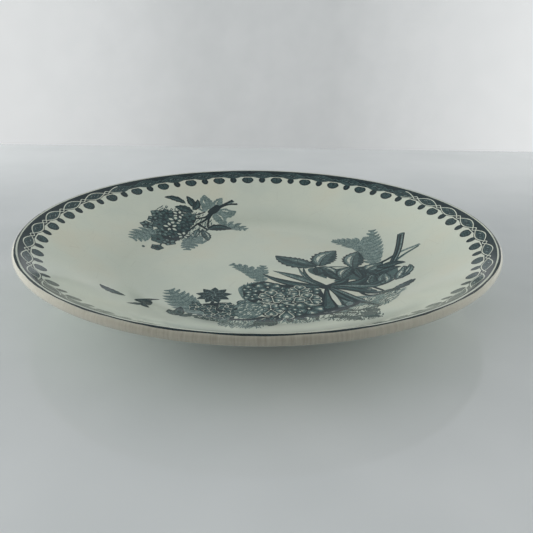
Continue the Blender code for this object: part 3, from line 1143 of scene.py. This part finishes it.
def drawSmallSpray():
    art = []
    # pale leaves behind
    leaf(art, -32+78j, -38+91j, 9, 0.08, 6, "pale")
    leaf(art, -29+80j, -26+91j, 6, 0.08, 5, "pale")
    leaf(art, -29+79j, -16+79j, 10, -0.24, 7, "pale")
    leaf(art, -31+75j, -22.5+63j, 8, 0.06, 6, "pale")
    leaf(art, -36+74j, -39+84j, 7, 0.04, 5, "pale")
    fern(art, (-26+63j, -17+63.5j, -8.5+60j), 9, 5)
    fern(art, (-62+43j, -68+37j, -73+26j), 11, 6)
    fern(art, (-43+48j, -41+36j, -41.5+23j), 10, 6, narrow=0.6)
    leaf(art, -36+48j, -34+33j, 8, 0.0, 6, "pale")
    grain(art, (-66+67j, -50+72j, -38+72j, -30+62j, -38+45j, -50+38j, -64+40j), mid, 1.5, 3.0, 75, 5)
    # stems from the cut knot
    for stem in (
            ((-31+77j, -24+84.5j, -18.5+89.5j), 2.2, 2.8), ((-29+79j, -22+85j, -15.5+86.5j), 1.2, 1.8),
            ((-32+76j, -35+69j, -43+64.5j), 1.8, 1.4), ((-31+75j, -35+66j, -40+60j), 1.6, 1.2),
            ((-31+75j, -33+67j, -33+59j), 1.6, 1.0), ((-40+61j, -35.5+58.5j, -32.5+56j), 2.2, 1.4),
            ((-36+74j, -42+69j, -50+66j), 1.2, 0.8), ((-40+60j, -44+52j, -47+44j), 1.2, 0.8),
            ((-55+42j, -57+34j, -58+26j), 1.4, 0.9)):
        twig(art, *stem)
    patch(art, (-34.5+74.5j, -32+80j, -29+83.5j, -26.5+81j, -28+76j, -31+73j), line)
    twig(art, (-22+85.5j, -18+88.5j), 0.5, 0.8, wash)
    for shape in smallSpray["leaves"]:
        leaf(art, *shape)
    for head in ((-67+60j, -63+66j, -50+69j, -41+66j, -43+58j, -46+49j, -58+45j, -64+51j),
                 (-61+40j, -51+41j, -50+46j, -47+42j, -50+36j, -54+31j, -60+33j)):
        patch(art, head, line)
    for number, (centre, size, turn) in enumerate(smallSpray["florets"]):
        art.append((disc(centre, size * 0.85), line))
        floret(art, centre, size * 1.06, turn, body=dark if number % 3 else mid, gap=line,
               light=(wash, mid, clear, mid)[number % 4])
    art.append((disc(-66.3+22.3j, 0.9, 1.3, 9), mid))
    return art


printSpray("small_spray", drawSmallSpray())


# table, backdrop, light and camera

studio = {
    "tableBack": 0.354, "tableReach": 2.4, "wallBack": 1.25, "wallHeight": 2.2, "wallFoot": -1.0,
    "tableColour": "#e0e4e5", "tableRoughness": 0.035,
    "wallColour": "#c9cecf", "wallRoughness": 0.6,
    "ior": 1.49,
    "dust": 60,  # mm across one duller patch
    "dustTint": ((0.3, "#f6f7f7"), (0.7, "#ffffff")),
    # the backdrop glows as painted light, brightest at both sides and dimmest in the middle: strength across
    # this width
    "wallGlow": ((0.0, 0.60), (0.25, 0.38), (0.4, 0.24), (0.6, 0.23), (1.0, 0.66)),
    "wallGlowWidth": 1.7,
    "glowUp": ((0.10, 1.0), (0.16, 0.10), (0.29, 0.10), (0.38, 0.8)),  # strength by share of the height
}


def makeStageMaterial(name, colour, roughness):
    # white acrylic sheet: smooth and glossy, so things on it are mirrored faintly
    material, tree, shader, place = newMaterial(name)
    dust = addNode(
        tree, "TexNoise", {"Scale": 1 / (studio["dust"] * mm), "Detail": 2.0}, {"Vector": place})
    tint = addNode(tree, "ValToRGB", {"stops": studio["dustTint"]}, {"Fac": dust})
    dusty = addNode(
        tree, "Mix",
        {"data_type": "RGBA", "blend_type": "MULTIPLY", mixFactor: 1.0, mixFirst: linear(colour)},
        {mixSecond: tint})
    feed(tree, shader, {"Base Color": dusty})
    shader.inputs["Roughness"].default_value = roughness
    shader.inputs["IOR"].default_value = studio["ior"]
    return material


def stagePlane(name, corners, material):
    mesh = bpy.data.meshes.new(name)
    mesh.from_pydata(corners, [], [(0, 1, 2, 3)])
    mesh.materials.append(material)
    thing = newObject(name, mesh)
    return thing


reach, back = studio["tableReach"], studio["tableBack"]
stagePlane("table_top", [(-reach, -reach, 0), (reach, -reach, 0), (reach, back, 0), (-reach, back, 0)],
           makeStageMaterial("tableAcrylic", studio["tableColour"], studio["tableRoughness"]))
wall, foot, top = studio["wallBack"], studio["wallFoot"], studio["wallHeight"]
paper = makeStageMaterial("backdropPaper", studio["wallColour"], studio["wallRoughness"])
stagePlane(
    "backdrop", [(-reach, wall, foot), (reach, wall, foot), (reach, wall, top), (-reach, wall, top)], paper)


def paintBackdropGlow():
    tree = paper.node_tree
    place = addNode(tree, "TexCoord").outputs["Object"]
    axes = addNode(tree, "SeparateXYZ", links={"Vector": place})
    half = studio["wallGlowWidth"] / 2
    across = addNode(
        tree, "MapRange", {"From Min": -half, "From Max": half}, {"Value": axes.outputs["X"]})
    glow = addNode(tree, "ValToRGB", {"stops": studio["wallGlow"]}, {"Fac": across})
    rise = addNode(tree, "MapRange", {"From Max": studio["wallHeight"]}, {"Value": axes.outputs["Z"]})
    fade = addNode(tree, "ValToRGB", {"stops": studio["glowUp"]}, {"Fac": rise})
    # the backdrop's own glow is painted light: the emissive sheet lights the plate from behind
    feed(tree, tree.nodes["Principled BSDF"], {"Emission Color": glow, "Emission Strength": fade})


paintBackdropGlow()

world = bpy.data.worlds.new("studioWorld")
bpy.context.scene.world = world
world.use_nodes = True

# the room's own soft light: even, with more from overhead
room = {"colour": "#fbfefe", "even": 0.195, "overhead": 0.24, "gathering": 1.5}
roomTree = world.node_tree
roomPlace = addNode(roomTree, "TexCoord").outputs["Generated"]
roomAxes = addNode(roomTree, "SeparateXYZ", links={"Vector": roomPlace})
upwards = addNode(roomTree, "Math", {"operation": "MAXIMUM", 1: 0.0}, {0: roomAxes.outputs["Z"]})
lobe = addNode(roomTree, "Math", {"operation": "POWER", 1: room["gathering"]}, {0: upwards})
roomLight = addNode(
    roomTree, "Math", {"operation": "MULTIPLY_ADD", 1: room["overhead"], 2: room["even"]},
    {0: lobe})
roomTree.nodes["Background"].inputs["Color"].default_value = linear(room["colour"])
feed(roomTree, roomTree.nodes["Background"], {"Strength": roomLight})

# place, aim, size, power in watts; they light the plate but aren't mirrored in it
softboxes = {
    "leftLow": ((-0.8, 0.1, 0.22), (0, 0.1, 0.1), (1.2, 0.4), 6.8),
    "rightLow": ((0.8, 0.1, 0.22), (0, 0.1, 0.1), (1.2, 0.4), 2.4),
    "rightHigh": ((1.0, 0.15, 0.45), (0, 0, 0), (0.9, 0.6), 2.1),
}
for name, (place, aim, size, power) in softboxes.items():
    lamp = bpy.data.lights.new(name, "AREA")
    lamp.shape = "RECTANGLE"
    lamp.size, lamp.size_y = size
    lamp.energy = power
    holder = newObject(name, lamp)
    holder.location = place
    holder.rotation_euler = (Vector(aim) - Vector(place)).to_track_quat("-Z", "Y").to_euler()
    holder.visible_camera = False
    holder.visible_glossy = False

cameraSetup = {
    "place": (0.0274, -2.4096, 1.054),  # in plate radii
    "pitch": 0.3954, "yaw": 0.0035, "roll": 0.0154,  # down, to the right, tilted
    "lens": 39.26,
}


def addCamera():
    data = bpy.data.cameras.new("camera")
    data.lens = cameraSetup["lens"]
    camera = newObject("camera", data)
    pitch, yaw, roll = (cameraSetup[k] for k in ("pitch", "yaw", "roll"))
    forward = Vector((math.sin(yaw) * math.cos(pitch), math.cos(yaw) * math.cos(pitch), -math.sin(pitch)))
    right = forward.cross(Vector((0, 0, 1))).normalized()
    up = right.cross(forward)
    level = right, up
    right = math.cos(roll) * level[0] + math.sin(roll) * level[1]
    up = -math.sin(roll) * level[0] + math.cos(roll) * level[1]
    turn = Matrix((right, up, -forward)).transposed().to_4x4()
    camera.matrix_world = Matrix.Translation(Vector(cameraSetup["place"]) * plateRadius) @ turn
    bpy.context.scene.camera = camera


addCamera()
bpy.context.scene.view_settings.view_transform = "Standard"
bpy.context.scene.view_settings.look = "None"
print("stage, light and camera are set")
